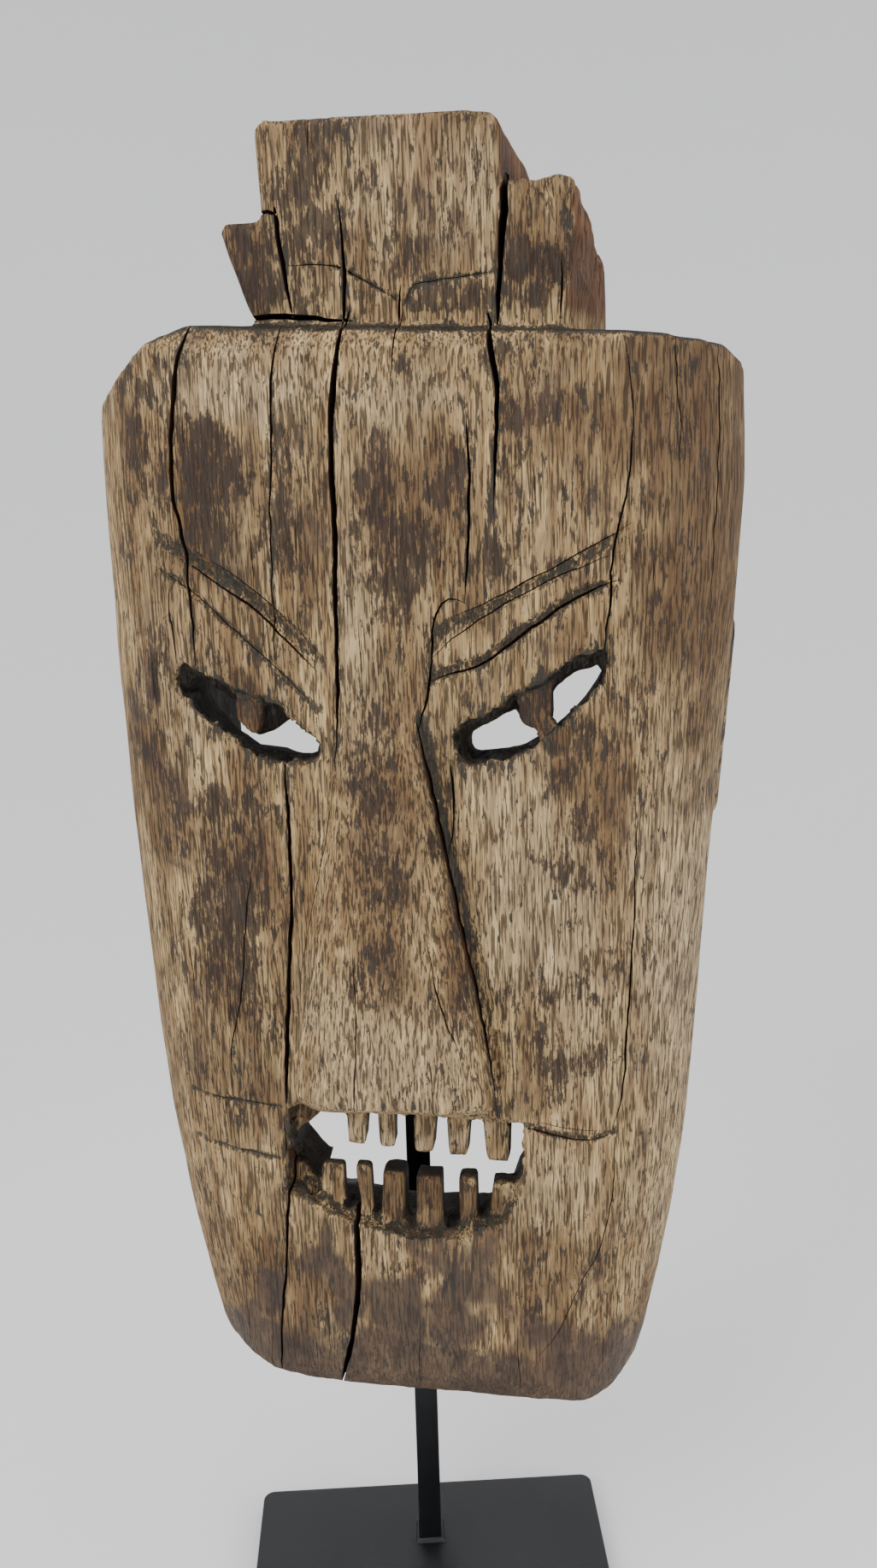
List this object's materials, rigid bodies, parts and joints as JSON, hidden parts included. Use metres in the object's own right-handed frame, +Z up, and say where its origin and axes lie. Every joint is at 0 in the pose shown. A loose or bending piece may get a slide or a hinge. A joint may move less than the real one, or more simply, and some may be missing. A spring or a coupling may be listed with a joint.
{
  "type": "carved face mask on a display stand",
  "caption": "Weathered hand-carved wooden face mask with a stepped comb, slit eyes and peg teeth, hung by a sleeve on the pin of a black steel stand.",
  "frame": {"origin": "on the table surface under the stand, on the axis of the post", "axes": "+Z up along the post, the face looks along -Y, +X to the right of a viewer in front; the stand is turned 11.3 degrees under the mask"},
  "size_m": [0.1839, 0.1242, 0.475],
  "materials": {
    "weathered_wood": "bare, weathered grey-brown, with dark worn patches",
    "black_steel": "satin black powder coat",
    "bright_steel": "turned and brushed",
    "brass": "turned, dull",
    "felt": "pressed black felt",
    "hanger_felt": "thin brown felt"
  },
  "bodies": {
    "stand": {"base_plate": "black_steel", "base_felt": "felt", "post": "black_steel", "foot_weld": "black_steel", "post_pin": "bright_steel"},
    "washer": {"thrust_washer": "brass"},
    "mask": {"mask": "weathered_wood", "sleeve": "black_steel", "hanger_arm": "black_steel", "hanger_plate": "black_steel", "hanger_pad": "hanger_felt", "hanger_screws": "bright_steel"}
  },
  "joints": [
    {"name": "mask_swivel", "type": "hinge", "parent": "stand", "child": "washer", "pos_m": [0, 0, 0.353], "axis": [0, 0, 1], "continuous": true},
    {"name": "mask_lift", "type": "slide", "parent": "washer", "child": "mask", "axis": [0, 0, 1], "range_m": [0, 0.03]}
  ]
}
